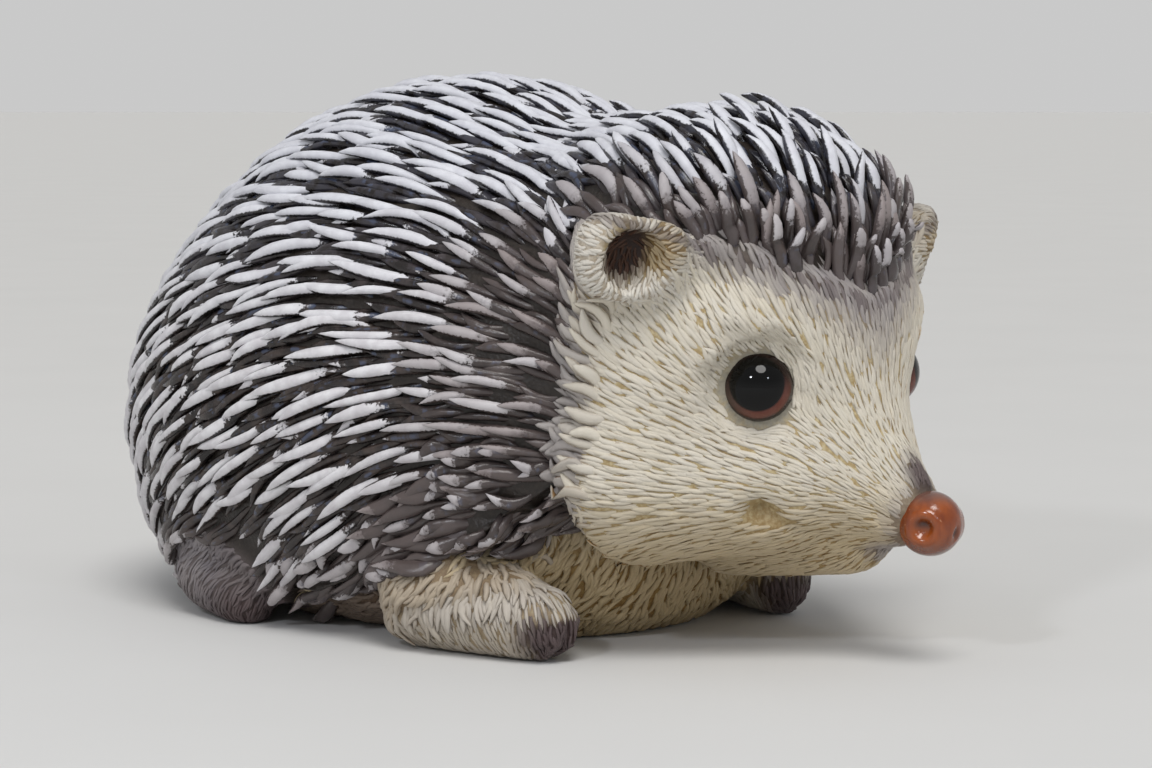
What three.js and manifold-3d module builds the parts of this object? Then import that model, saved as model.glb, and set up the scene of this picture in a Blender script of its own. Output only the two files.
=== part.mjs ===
// A cast-resin garden figurine of a crouching hedgehog, in millimetres.
// +Z is up, the nose points to -Y, and +X is the animal's left. The origin is the middle of the
// footprint, on the surface that the figurine stands on.
import * as THREE from "three";
import { mergeVertices } from "three/addons/utils/BufferGeometryUtils.js";
import Module from "manifold-3d";

const wasm = await Module();
wasm.setup();

// ---------- driving dimensions ----------
const LENGTH = 152; // nose tip to rump
const WIDTH = 92; // across the spines of the flanks
const HEIGHT = 82; // floor to the spines of the back
const EYE_R = 5; // set-in eyes, 10 mm across
const NOSE_R = 4.5;
const GAP = 0.3; // joint between neighbouring pieces
const FINE = 0.05; // detail smaller than this is dropped after the cuts
const SPINE_CLEARANCE = 3; // the lowest spines stop this far above the floor

const RUMP_Y = LENGTH / 2;
const NOSE = { x: 0, y: -LENGTH / 2 + NOSE_R, z: 20.2 };
const EYE = { x: 14.6, y: -52.9, z: 39 };
const EAR = { x: 31.9, y: -44.8, half: 8.2, tall: 6.9, thick: 4, turn: 38, lean: 12 };
const EAR_HEIGHT = { left: 56.4, right: 57.4 }; // the left ear is set a little lower
const NECK = { y: -19, z: 77, slope: 0.25 }; // the neck joint: its top edge, and its lean forward
const SIDES = { left: 1, right: -1 };

// Each leg is a shank and a paw that lies along the floor, from heel to toe.
const LEGS = {
  foreleg_right: { heel: [-33, -8, 7.5], heelR: 8, toe: [-31, -28, 5], toeR: 5.6 },
  foreleg_left: { heel: [31, -10, 7.5], heelR: 8, toe: [22, -28, 5], toeR: 5.6 },
  hindleg_right: { heel: [-34, 37, 6.5], heelR: 6.6, toe: [-37, 27, 4], toeR: 5 },
  hindleg_left: { heel: [34, 37, 6.5], heelR: 6.6, toe: [37, 27, 4], toeR: 5 },
};
const TAIL = { root: [0, 60, 9], rootR: 5, tip: [0, 71, 6], tipR: 3 };

// ---------- scalar fields: negative inside, and near true distance close to the surface ----------
// A rounded block between an ellipsoid (power 2) and a box (high power), with its own depth below
// the centre.
function blob([cx, cy, cz], [rx, ry, rz], { power = 2, under = rz } = {}) {
  return ([x, y, z]) => {
    const radii = [rx, ry, z < cz ? under : rz];
    const share = [x - cx, y - cy, z - cz].map((v, i) => Math.abs(v) / radii[i]);
    const size = share.reduce((sum, s) => sum + s ** power, 0) ** (1 / power);
    if (size === 0) return -Math.min(...radii);
    const slope = Math.hypot(...share.map((s, i) => (s / size) ** (power - 1) / radii[i]));
    return (size - 1) / slope;
  };
}

// A cone with round ends, from a ball of radius ra at a to one of radius rb at b.
function roundCone(a, ra, b, rb) {
  const axis = b.map((v, i) => v - a[i]);
  const length2 = axis.reduce((sum, v) => sum + v * v, 0);
  return (p) => {
    const along = p.reduce((sum, v, i) => sum + (v - a[i]) * axis[i], 0) / length2;
    const t = Math.min(1, Math.max(0, along));
    return Math.hypot(...p.map((v, i) => v - a[i] - t * axis[i])) - (ra + t * (rb - ra));
  };
}

// The union of fields, with a fillet of about `fillet` millimetres where they meet.
function blend(fillet, ...fields) {
  const join = (a, b) => {
    const overlap = Math.max(0, fillet - Math.abs(a - b)) / fillet;
    return Math.min(a, b) - (overlap * overlap * fillet) / 4;
  };
  return (p) => fields.map((field) => field(p)).reduce(join);
}

const onBothSides = (field) => ([x, y, z]) => Math.min(field([x, y, z]), field([-x, y, z]));

// ---------- the animal's regions as fields ----------
// The spines' outline, out to the tips: the back, rump, shoulders and crown.
const back = blob([0, 14, 32], [WIDTH / 2, 54, HEIGHT - 32]);
const rump = blob([0, 29, 29], [WIDTH / 2 - 3, RUMP_Y - 29, 40], { under: 48 });
const shoulders = blob([0, -14, 34], [40, 30, 38.5], { power: 2.1, under: 44 });
const crown = blob([0, -33, 46], [33, 27, 31.5], { power: 2.3 });
// The crown stops at a fringe over the brow, which rises to pass above the ears.
const fringe = ([x, y, z]) => 0.8 * (52 + 0.35 * Math.abs(x) - z) - 0.45 * (y + 58);
const crownCap = (p) => Math.max(crown(p), fringe(p));
// The lower edge of the spines drops from the shoulder to the flank.
const lowerEdge = ([, y, z]) => 0.94 * (9.5 - 0.35 * y - z);
const spines = blend(6, back, rump, shoulders, crownCap);
const spineField = (p) => Math.max(spines(p), lowerEdge(p));

// The furred face, with a shallow orbit cut round each eye.
const skull = blob([0, -34, 42], [33, 22.8, 29]);
const forehead = blob([0, -40.5, 46], [26, 22, 17], { power: 2.3 });
const bridge = roundCone([0, -47.5, 40], 15.5, [0, -52, 30], 13.9);
const cheek = roundCone([-18, -34, 27], 15, [-8, -50, 25], 10.5);
const muzzle = roundCone([0, -48, 28], 14, [NOSE.x, NOSE.y - 0.5, NOSE.z + 0.4], 4.4);
const jaw = roundCone([0, -38, 18], 9, [0, -59.4, 15.2], 3.8);
const orbit = blob([EYE.x + 5.8, EYE.y - 5.5, EYE.z], [8, 8, 8]);
const face = blend(4, skull, forehead, bridge, onBothSides(cheek), muzzle, jaw);
const faceField = (p) => Math.max(face(p), -onBothSides(orbit)(p));
const headField = blend(2, faceField, spineField);

// The chest and belly reach below the floor and are cut flat there.
const chest = blob([0, -10, 20], [33, 22, 22]);
const paunch = blob([0, 16, 8], [36, 46, 14], { under: 12 });
const bellyField = blend(8, chest, paunch);

// How far a point lies behind the neck joint, measured level along Y.
const behindNeck = ([, y, z]) => y - NECK.y + (NECK.z - z) * NECK.slope;

// ---------- solids ----------
function solid(geometry) {
  const bare = geometry.clone();
  bare.deleteAttribute("normal");
  bare.deleteAttribute("uv");
  const merged = mergeVertices(bare, 1e-4);
  const vertProperties = merged.getAttribute("position").array;
  const triVerts = new Uint32Array(merged.index.array);
  return new wasm.Manifold(new wasm.Mesh({ numProp: 3, vertProperties, triVerts }));
}

const ball = ({ x, y, z }, radius, detail) =>
  solid(new THREE.IcosahedronGeometry(radius, detail).translate(x, y, z));

// A ball of triangles round `centre`, each vertex moved along its own ray to where the field has
// the value `level`. A level of GAP gives the clearance that a neighbour leaves round the piece.
function wrap(centre, detail, field, level = 0) {
  const reach = 110;
  const sphere = new THREE.IcosahedronGeometry(1, detail);
  const position = sphere.getAttribute("position");
  const ray = new THREE.Vector3();
  for (let i = 0; i < position.count; i++) {
    ray.fromBufferAttribute(position, i).normalize();
    const at = (r) => [centre[0] + r * ray.x, centre[1] + r * ray.y, centre[2] + r * ray.z];
    let outside = 1;
    while (outside < reach && field(at(outside)) <= level) outside++;
    let inside = outside - 1;
    for (let halving = 0; halving < 18; halving++) {
      const middle = (inside + outside) / 2;
      if (field(at(middle)) > level) outside = middle;
      else inside = middle;
    }
    position.setXYZ(i, ...at((inside + outside) / 2));
  }
  return solid(sphere);
}

const VAST = 400; // a block this large stands for a half-space
const aboveHeight = (z) => solid(new THREE.BoxGeometry(VAST, VAST, VAST).translate(0, 0, z + VAST / 2));

// Everything on one side of the neck joint, half a gap from it.
const FRONT = -1;
const REAR = 1;
const besideNeck = (side) =>
  solid(
    new THREE.BoxGeometry(VAST, VAST, VAST)
      .translate(0, (side * (VAST + GAP)) / 2, 0)
      .rotateX(-Math.atan(NECK.slope))
      .translate(0, NECK.y, NECK.z),
  );

const subtractAll = (shape, cutters) => cutters.reduce((left, cutter) => left.subtract(cutter), shape);
const between = (a, b) => a.map((v, i) => (v + b[i]) / 2);

// ---------- the small pieces: at level 0 the piece itself, at level GAP the room it needs ----------
function ear(name, level) {
  const lobe = blob([0, 0, 0], [EAR.half, EAR.thick, EAR.tall], { power: 2.6 });
  const bowl = new THREE.IcosahedronGeometry(1, 3).scale(4.4, 4.4, 4.8).translate(0, -EAR.thick - 0.5, -0.5);
  const whole = wrap([0, 0, 0], 3, lobe, level);
  const cupped = level === 0 ? whole.subtract(solid(bowl)) : whole;
  const side = SIDES[name];
  return cupped
    .rotate([EAR.lean, 0, side * EAR.turn])
    .translate([side * EAR.x, EAR.y, EAR_HEIGHT[name]]);
}

const leg = ({ heel, heelR, toe, toeR }, level) =>
  wrap(between(heel, toe), 3, roundCone(heel, heelR, toe, toeR), level);

const tail = (level) =>
  wrap(between(TAIL.root, TAIL.tip), 2, roundCone(TAIL.root, TAIL.rootR, TAIL.tip, TAIL.tipR), level);

const belly = (level) => wrap([0, 0, 8], 5, bellyField, level);

// ---------- the large pieces, cut to clear the small ones ----------
const floor = aboveHeight(0);
const legNames = Object.keys(LEGS);
const sideNames = Object.keys(SIDES);
const eyeAt = (name) => ({ ...EYE, x: SIDES[name] * EYE.x });
const legRoom = legNames.map((name) => leg(LEGS[name], GAP));
const underRoom = [...legRoom, tail(GAP)];
const faceRoom = [
  ...sideNames.map((name) => ear(name, GAP)),
  ...sideNames.map((name) => ball(eyeAt(name), EYE_R + GAP, 2)),
  ball(NOSE, NOSE_R + GAP, 2),
];
const LAP = 6; // head and trunk first run this far past the neck joint, then are cut back to it

function head() {
  const field = (p) => Math.max(headField(p), behindNeck(p) - LAP);
  const shape = wrap([0, -38, 42], 9, field).intersect(besideNeck(FRONT));
  return subtractAll(shape, [belly(GAP), ...legRoom, ...faceRoom]);
}

function trunk() {
  const field = (p) => Math.max(spineField(p), -behindNeck(p) - LAP);
  const shape = wrap([0, 14, 34], 8, field).intersect(besideNeck(REAR));
  return subtractAll(shape.intersect(aboveHeight(SPINE_CLEARANCE)), [belly(GAP), ...underRoom]);
}

// ---------- the figurine ----------
const figure = new THREE.Group();
figure.name = "hedgehog_figurine";

const resin = {
  spines: new THREE.MeshStandardMaterial({ color: 0x6d655f, roughness: 0.5, metalness: 0 }),
  fur: new THREE.MeshStandardMaterial({ color: 0xd9c69c, roughness: 0.6, metalness: 0 }),
  paw: new THREE.MeshStandardMaterial({ color: 0x6b5a55, roughness: 0.6, metalness: 0 }),
  nose: new THREE.MeshStandardMaterial({ color: 0xa4502a, roughness: 0.2, metalness: 0 }),
  eye: new THREE.MeshStandardMaterial({ color: 0x0c0a0a, roughness: 0.05, metalness: 0 }),
};

function add(name, shape, material) {
  const made = shape.simplify(FINE).getMesh();
  const geometry = new THREE.BufferGeometry();
  geometry.setAttribute("position", new THREE.BufferAttribute(made.vertProperties, made.numProp));
  geometry.setIndex(new THREE.BufferAttribute(made.triVerts, 1));
  geometry.computeVertexNormals();
  const mesh = new THREE.Mesh(geometry, material);
  mesh.name = name;
  figure.add(mesh);
}

add("head", head(), resin.fur);
add("nose", ball(NOSE, NOSE_R, 3), resin.nose);
for (const name of sideNames) {
  add(`eye_${name}`, ball(eyeAt(name), EYE_R, 3), resin.eye);
  add(`ear_${name}`, ear(name, 0), resin.fur);
}
add("trunk", trunk(), resin.spines);
add("belly", subtractAll(belly(0).intersect(floor), underRoom), resin.fur);
for (const name of legNames) add(name, leg(LEGS[name], 0).intersect(floor), resin.paw);
add("tail", tail(0).intersect(floor), resin.fur);

export default figure;
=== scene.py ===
"""Looks of the painted cast-resin hedgehog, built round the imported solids.

Lengths are in millimetres and MM turns them into metres. The frame is the model's own:
+x is the animal's left, -y is where it looks, +z is up, and it rests on z = 0.
"""

import math

import bmesh
import bpy
import numpy as np
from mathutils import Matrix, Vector
from mathutils.bvhtree import BVHTree
from mathutils.kdtree import KDTree


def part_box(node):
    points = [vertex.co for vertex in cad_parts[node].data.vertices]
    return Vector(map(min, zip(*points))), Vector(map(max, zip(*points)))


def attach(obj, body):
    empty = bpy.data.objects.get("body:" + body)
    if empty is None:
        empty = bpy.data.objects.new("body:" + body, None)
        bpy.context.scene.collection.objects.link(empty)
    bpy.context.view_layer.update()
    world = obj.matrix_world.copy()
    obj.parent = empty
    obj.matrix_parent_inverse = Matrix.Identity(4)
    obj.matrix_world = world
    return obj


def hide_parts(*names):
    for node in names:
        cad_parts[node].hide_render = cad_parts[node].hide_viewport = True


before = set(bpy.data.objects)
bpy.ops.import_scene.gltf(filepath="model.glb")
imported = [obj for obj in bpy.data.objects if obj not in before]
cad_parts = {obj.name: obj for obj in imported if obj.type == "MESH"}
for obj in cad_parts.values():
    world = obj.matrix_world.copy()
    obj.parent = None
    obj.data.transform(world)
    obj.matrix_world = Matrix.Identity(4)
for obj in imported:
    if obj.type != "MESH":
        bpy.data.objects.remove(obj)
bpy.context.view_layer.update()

MM = 0.001
rng = np.random.default_rng(20)

# ---- numbers


def ease(low, high, value):
    """A smooth rise from 0 at low to 1 at high, or a fall where high is the smaller."""
    share = np.clip((value - low) / (high - low), 0, 1)
    return share * share * (3 - 2 * share)


def bell(value):
    return np.exp(-(value**2))


def unit(vectors):
    return vectors / (np.linalg.norm(vectors, axis=-1, keepdims=True) + 1e-12)


def dot(a, b):
    return (a * b).sum(-1, keepdims=True)


def flat_on(vectors, normals):
    """The vectors laid down on the planes with those normals, at unit length."""
    return unit(vectors - normals * dot(vectors, normals))


def xyz(p):
    return p[..., 0], p[..., 1], p[..., 2]


def span(p, centre, size=1.0):
    """How far points are from a centre, in shares of a size."""
    return np.linalg.norm((p - centre) / size, axis=-1)


def nearer_span(p, centres, size=1.0):
    """The span from the nearer of the two sides' centres."""
    return np.minimum(*[span(p, centre, size) for centre in centres.values()])


def wave(p, length, shift=0.0):
    """A smooth, seedless wobble from -1 to 1 with about this wavelength."""
    k = 2 * math.pi / length
    x, y, z = p[..., 0] * k + shift, p[..., 1] * k - shift, p[..., 2] * k + 2.1 * shift
    return (np.sin(x + 1.7 * np.sin(0.6 * z)) + np.sin(0.9 * y - 0.5 * x) + np.sin(1.1 * z + 0.7 * y)) / 3


# ---- places


def box_mm(node):
    low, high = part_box(node)
    return np.array(low) / MM, np.array(high) / MM


def centre_mm(node):
    low, high = box_mm(node)
    return (low + high) / 2


def size_mm(node):
    low, high = box_mm(node)
    return high - low


LEGS = ["foreleg_left", "foreleg_right", "hindleg_left", "hindleg_right"]
FORELEGS, HINDLEGS = LEGS[:2], LEGS[2:]
EARS = ["ear_left", "ear_right"]
FLESH = ["head", *EARS, "trunk", "belly", "tail", *LEGS]
SIDES = {"left": 1, "right": -1}


def both(place, centres=None):
    """A place for each side of the body, mirrored, and counted from that side's centre if there is one."""
    centres = centres or dict.fromkeys(SIDES, 0)
    return {side: centres[side] + np.array(place) * [sign, 1, 1] for side, sign in SIDES.items()}


EYE = {side: centre_mm("eye_" + side) for side in SIDES}
EYE_RADIUS = size_mm("eye_left")[0] / 2
EYE_AXIS = {side: unit(axis) for side, axis in both([0.80, -0.57, 0.17]).items()}
EYE_BARE = both([0.3, 0.35, -0.85], EYE)  # middle of the bare ring round the lids
NOSE = centre_mm("nose")
NOSE_RADIUS = size_mm("nose")[0] / 2

EAR = {side: centre_mm("ear_" + side) for side in SIDES}
EAR_REACH, EAR_BACK = 7.4, 2.2  # no quill comes nearer to an ear's middle, beside it and behind it
EAR_TURN = math.radians(38)
EAR_OUT = both([math.sin(EAR_TURN), -math.cos(EAR_TURN), 0.12])
# the middle of the bowl, which the fur of the ear runs out from
EAR_BOWL_PLACE = {side: EAR[side] + 3.4 * EAR_OUT[side] + np.array([0, 0, -0.4]) for side in SIDES}
# the dark of the bowl, the ochre wash beside it and the eased opening under it
EAR_DARK, EAR_DARK_SIZE = both([1.7, -0.4, 0.4], EAR), np.array([3.6, 3.6, 4.6])
EAR_OCHRE, EAR_OCHRE_SIZE = both([-2.2, -2.8, 1.0], EAR), 4.4
EAR_OPENING, EAR_OPENING_SIZE = both([-2.2, -5.0, -4.6], EAR), np.array([6.0, 5.6, 5.0])

# the crease of the mouth, from under the nose to its corner, with its depth at each point
LIPS = [(1.0, -66.0, 15.3), (3.6, -62.3, 15.4), (8.5, -59.0, 17.6), (12.8, -57.0, 19.8), (16.3, -55.0, 21.6)]
MOUTH, MOUTH_DEPTH = both(LIPS), [0.9, 1.0, 0.45, 0.5, 0.7]
MOUTH_CORNER = {side: line[-1] for side, line in MOUTH.items()}
MOUTH_PIT = both([-1.7, 1.1, 0.4], MOUTH_CORNER)
MOUTH_PIT_FRONT = both([-1.6, -1.4, -1.4], MOUTH_PIT)

SHOULDER, SHOULDER_SIZE = both([33.0, -16.0, 12.0]), np.array([11.0, 15.0, 8.0])
# where each foreleg runs into the chest, and how far round that the skin is eased
LEG_CREASE, LEG_CREASE_SIZE = both([31.0, -12.0, 13.0]), np.array([12.0, 17.0, 9.0])
HIND_FOOT, HIND_FOOT_SIZE = both([37.5, 32.5, 4.5]), np.array([9.5, 13.0, 9.5])
# the line where the shoulder's fur ends above the paw
PAW_TOP_Y, PAW_TOP_Z = [-34, -28, -20, -10, -2], [12.5, 10.5, 8.6, 6.0, 2.0]

# The quilled coat: above the fringe on the brow, behind the ruff, and above the skirt's hem.
FRINGE_HEIGHT, FRINGE_RISE = 50.5, 0.35
RUFF_Z, RUFF_Y = [5, 20, 35, 50, 62, 80], [-31, -33, -35.5, -35.5, -33.5, -33]
HEM_HEIGHT, HEM_FALL, HEM_LEAST = 8.3, 0.35, 2.5


def above_fringe(p):
    return p[..., 2] - (FRINGE_HEIGHT + FRINGE_RISE * np.abs(p[..., 0]))


def behind_ruff(p):
    return p[..., 1] - np.interp(p[..., 2], RUFF_Z, RUFF_Y)


def above_hem(p):
    return p[..., 2] - np.maximum(HEM_HEIGHT - HEM_FALL * p[..., 1], HEM_LEAST)


def off_hind_feet(p):
    """How far a point is outside the lumps of the hind feet, roughly in millimetres."""
    return (nearer_span(p, HIND_FOOT, HIND_FOOT_SIZE) - 1) * HIND_FOOT_SIZE.min()


def into_coat(p):
    """How far a point is inside the quilled coat's border, in millimetres, negative on the fur."""
    within = np.minimum(np.maximum(above_fringe(p), behind_ruff(p)), above_hem(p))
    return np.minimum(within, off_hind_feet(p))


def above_paw(p):
    """Height over the line where the fur of the shoulder ends."""
    return p[..., 2] - np.interp(p[..., 1], PAW_TOP_Y, PAW_TOP_Z)


# ---- meshes


def from_arrays(name, points, faces, smooth=True):
    """A mesh object from points in millimetres and a list of face arrays, each of one face size."""
    mesh = bpy.data.meshes.new(name)
    starts, corners, sizes, at = [], [], [], 0
    for block in faces:
        count, size = block.shape
        starts.append(at + np.arange(count) * size)
        corners.append(block.ravel())
        sizes.append(np.full(count, size))
        at += count * size
    mesh.vertices.add(len(points))
    mesh.vertices.foreach_set("co", (points * MM).astype(np.float32).ravel())
    mesh.loops.add(at)
    mesh.loops.foreach_set("vertex_index", np.concatenate(corners).astype(np.int32))
    mesh.polygons.add(sum(len(s) for s in sizes))
    mesh.polygons.foreach_set("loop_start", np.concatenate(starts).astype(np.int32))
    mesh.polygons.foreach_set("loop_total", np.concatenate(sizes).astype(np.int32))
    mesh.update(calc_edges=True)
    mesh.validate()
    if smooth:
        mesh.polygons.foreach_set("use_smooth", np.ones(len(mesh.polygons), bool))
    obj = bpy.data.objects.new(name, mesh)
    bpy.context.scene.collection.objects.link(obj)
    return obj


def paint_on(obj, **values):
    """Gives each point of a mesh named numbers, which the materials read."""
    for name, value in values.items():
        attribute = obj.data.attributes.new(name, "FLOAT", "POINT")
        attribute.data.foreach_set("value", np.asarray(value, np.float32).ravel())


def summed(where, values, count):
    """The sum of the values that fall to each of so many points."""
    return np.stack([np.bincount(where, values[:, axis], count) for axis in range(3)], 1)


def normals_of(points, quads):
    a, b, c, d = (points[quads[:, i]] for i in range(4))
    face = np.cross(c - a, d - b)
    return unit(sum(summed(quads[:, i], face, len(points)) for i in range(4)))


# ---- skin

SWELL = 0.35  # closes the thin cuts between the nodes
VOXEL = 0.62
SMOOTHING, AFTER_SMOOTHING, CREASE_SMOOTHING = 14, 3, 45
SMOOTHING_PULL, SMOOTHING_PUSH = 0.5, -0.52
FUR_DEPTH, SPINE_DEPTH = 0.42, 1.9  # how deep the skin lies under the solids' surface
DEPTH_EASE = 3.0  # over this distance the skin sinks from one depth to the other
SOLE = 0.25  # skin lower than this is laid flat on the ground


def fused_flesh(names):
    """The flesh nodes swollen until their cuts close, joined by a voxel remesh."""
    fused = bmesh.new()
    for name in names:
        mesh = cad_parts[name].data.copy()
        piece = bmesh.new()
        piece.from_mesh(mesh)
        bmesh.ops.remove_doubles(piece, verts=piece.verts, dist=1e-6)
        piece.normal_update()
        for vertex in piece.verts:
            vertex.co += vertex.normal * SWELL * MM
        piece.to_mesh(mesh)
        piece.free()
        fused.from_mesh(mesh)
        bpy.data.meshes.remove(mesh)
    mesh = bpy.data.meshes.new("fused")
    fused.to_mesh(mesh)
    fused.free()
    draft = bpy.data.objects.new("fused", mesh)
    bpy.context.scene.collection.objects.link(draft)
    remesh = draft.modifiers.new("remesh", "REMESH")
    remesh.mode = "VOXEL"
    remesh.voxel_size = VOXEL * MM
    done = draft.evaluated_get(bpy.context.evaluated_depsgraph_get()).to_mesh()
    points = np.zeros(len(done.vertices) * 3)
    done.vertices.foreach_get("co", points)
    corners = np.zeros(len(done.loops), int)
    done.loops.foreach_get("vertex_index", corners)
    bpy.data.objects.remove(draft)
    return points.reshape(-1, 3) / MM, corners.reshape(-1, 4)


def edges_of(quads):
    """The two ends of each side of each quad."""
    return np.concatenate([quads[:, [i, (i + 1) % 4]] for i in range(4)]).T


def relaxed(points, quads, rounds):
    """Laplacian smoothing that gives back what each round shrinks."""
    a, b = edges_of(quads)
    total = len(points)
    count = np.bincount(a, minlength=total) + np.bincount(b, minlength=total)
    for step in range(rounds * 2):
        mean = (summed(a, points[b], total) + summed(b, points[a], total)) / count[:, None]
        points = points + (SMOOTHING_PUSH if step % 2 else SMOOTHING_PULL) * (mean - points)
    return points


def softened(points, quads, weight, rounds):
    """Plain smoothing where weight is above 0, which fills creases with a fillet."""
    a, b = edges_of(quads)
    count = np.bincount(a, minlength=len(points))[:, None]
    for _ in range(rounds):
        mean = summed(a, points[b], len(points)) / count
        points = points + 0.5 * weight[:, None] * (mean - points)
    return points


def node_finder(names):
    """A function that gives the number in the list of the node nearest to each point."""
    points, faces, owner, at = [], [], [], 0
    for number, name in enumerate(names):
        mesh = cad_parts[name].data
        points += [tuple(v.co / MM) for v in mesh.vertices]
        faces += [tuple(at + i for i in p.vertices) for p in mesh.polygons]
        owner += [number] * len(mesh.polygons)
        at += len(mesh.vertices)
    tree = BVHTree.FromPolygons(points, faces)
    return lambda places: np.array([owner[tree.find_nearest(Vector(p))[2]] for p in places])


SKINNED = [*FLESH, "eye_left", "eye_right", "nose"]
nearest_node = node_finder(SKINNED)
BACK = ["trunk", "head", "tail"]


def among(part, *names):
    """Where the nearest node is one of these."""
    return np.isin(part, [SKINNED.index(name) for name in names])


def to_line(p, line, values):
    """Distance to a line of points, and the value there."""
    best, value = np.full(len(p), 1e9), np.zeros(len(p))
    for i in range(len(line) - 1):
        step = line[i + 1] - line[i]
        share = np.clip((p - line[i]) @ step / (step @ step), 0, 1)
        off = np.linalg.norm(p - line[i] - share[:, None] * step, axis=1)
        nearer = off < best
        best = np.where(nearer, off, best)
        value = np.where(nearer, values[i] + share * (values[i + 1] - values[i]), value)
    return best, value


LID_ANGLES = [0, 78, 88, 96, 108]
LID_RISE = [-0.8, -0.7, 0.25, 0.6, 0.7]
LID_REACH, LID_FULL = 2.4, 0.9  # the lids ease out between these distances from the glass
FOLD_WIDTH, FOLD_DEPTH = 0.7, 0.3
MOUTH_WIDTH = 0.75
CORNER_WIDTH, CORNER_DEPTH = 2.4, 2.2
SHOULDER_STEP = 0.7
TOE_GROOVES, TOE_WIDTH, TOE_DEPTH = (-3.4, -0.6, 2.2), 0.55, 0.75
NOSE_UNDER = 3.0  # radius of the skin inside the nose's ball


def lidded(points, side):
    """Rolls the skin over the glass of an eye, and gives how far a fold round the lids is pushed in."""
    ray = points - EYE[side]
    away = np.linalg.norm(ray, axis=1)
    angle = np.degrees(np.arccos(np.clip(ray @ EYE_AXIS[side] / away, -1, 1)))
    # the skin dives under the glass inside the lid's angle and rolls over it outside
    target = EYE_RADIUS + np.interp(angle, LID_ANGLES, LID_RISE)
    near = ease(EYE_RADIUS + LID_REACH, EYE_RADIUS + LID_FULL, away) * (angle < 140)
    away_new = away + near * (target - away)
    fold = FOLD_DEPTH * bell((away - EYE_RADIUS - LID_REACH) / FOLD_WIDTH) * ease(150, 90, angle)
    return EYE[side] + ray * (away_new / away)[:, None], fold


def sculpt(points, normals):
    """Lids, socket fold, mouth and the other small forms of the bare skin."""
    push = np.zeros(len(points))
    for side in SIDES:
        points, fold = lidded(points, side)
        push -= fold
        # mouth: a crease from under the nose back to the corner of the lips
        off, depth = to_line(points, MOUTH[side], MOUTH_DEPTH)
        push -= depth * bell(off / MOUTH_WIDTH)
        push -= CORNER_DEPTH * bell(span(points, MOUTH_CORNER[side]) / CORNER_WIDTH)
        # the shoulder's fur ends in a step over the top of the paw
        shoulder = span(points, SHOULDER[side], SHOULDER_SIZE)
        push += SHOULDER_STEP * ease(1.15, 0.9, shoulder) * ease(0, 1.2, above_paw(points))
    # grooves part the toes of the fore paws
    for name in FORELEGS:
        low, high = box_mm(name)
        toes = ease(low[1] + 7, low[1] + 3, points[:, 1]) * ease(8.5, 5.5, points[:, 2])
        toes = toes * ((points > low - 1) & (points < high + 1)).all(1)
        for place in TOE_GROOVES:
            push -= TOE_DEPTH * toes * bell((points[:, 0] - (low[0] + high[0]) / 2 - place) / TOE_WIDTH)
    # the skin sinks under the nose's ball
    ray = points - NOSE
    away = np.linalg.norm(ray, axis=1)
    sunk = ease(NOSE_RADIUS + 0.7, NOSE_RADIUS - 0.2, away)
    points = points - ray / away[:, None] * (sunk * np.maximum(away - NOSE_UNDER, 0))[:, None]
    return points + normals * (push * (1 - sunk))[:, None]


def make_skin():
    points, quads = fused_flesh(SKINNED)
    points = relaxed(points, quads, SMOOTHING)
    normals = normals_of(points, quads)
    inside = ease(0, DEPTH_EASE, into_coat(points))
    depth = SWELL + FUR_DEPTH + (SPINE_DEPTH - FUR_DEPTH) * inside
    points = relaxed(points - normals * depth[:, None], quads, AFTER_SMOOTHING)
    creased = np.zeros(len(points))
    for side in SIDES:
        crease = ease(1.0, 0.6, span(points, LEG_CREASE[side], LEG_CREASE_SIZE))
        opening = ease(1.0, 0.6, span(points, EAR_OPENING[side], EAR_OPENING_SIZE))
        creased = np.maximum(creased, np.maximum(crease * ease(2.5, 5, points[:, 2]), opening))
    points = sculpt(softened(points, quads, creased, CREASE_SMOOTHING), normals)
    low = points[:, 2] < 2 * SOLE
    points[low, 2] = np.where(points[low, 2] < SOLE, 0, (points[low, 2] - SOLE) * 2)
    return points, quads, normals_of(points, quads)


def tree_of(quads):
    return BVHTree.FromPolygons([tuple(p) for p in skin_points], [tuple(q) for q in quads])


skin_points, skin_quads, skin_normals = make_skin()
skin_part = nearest_node(skin_points)
skin_tree = tree_of(skin_quads)

back_faces = among(skin_part[skin_quads[:, 0]], *BACK)
back_faces &= off_hind_feet(skin_points[skin_quads[:, 0]]) > 0
back_quads = skin_quads[back_faces]
back_tree = tree_of(back_quads)
OVERHANG = 1.2  # a quill that is further than this off the back goes straight on


def landed(places, tree, quads):
    """The nearest points of a surface, its smooth normals there and the distances to them."""
    found, faces, away = np.empty_like(places), np.empty(len(places), int), np.empty(len(places))
    for i, place in enumerate(places):
        spot, _, faces[i], away[i] = tree.find_nearest(Vector(place))
        found[i] = spot
    corners = quads[faces]
    nearness = 1 / (np.linalg.norm(skin_points[corners] - found[:, None], axis=2) + 0.05)
    return found, unit((skin_normals[corners] * nearness[..., None]).sum(1)), away


def on_skin(places, normals):
    return landed(places, skin_tree, skin_quads)[:2]


def on_back(places, normals):
    """Like on_skin for the back alone, but a place beyond its edge stays where it is."""
    found, normal, away = landed(places, back_tree, back_quads)
    beyond = (away > OVERHANG)[:, None]
    return np.where(beyond, places, found), np.where(beyond, normals, normal)


# ---- markings

NOSE_TOP = NOSE + [0, 1.4, 6.4], [2.4, 3.4, 4.3]
BRIDGE = NOSE + [0, 7.0, 5.5], [4.0, 6.0, 4.0]
NOSE_BOTTOM = NOSE + [0, 5.5, -4.5], [4.5, 4.5, 2.2]
RECESS_DEPTH = 0.9  # the painted shadow line under the fringe's overhang is this far below it and this wide
LIP_WIDTH = 0.8


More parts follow.
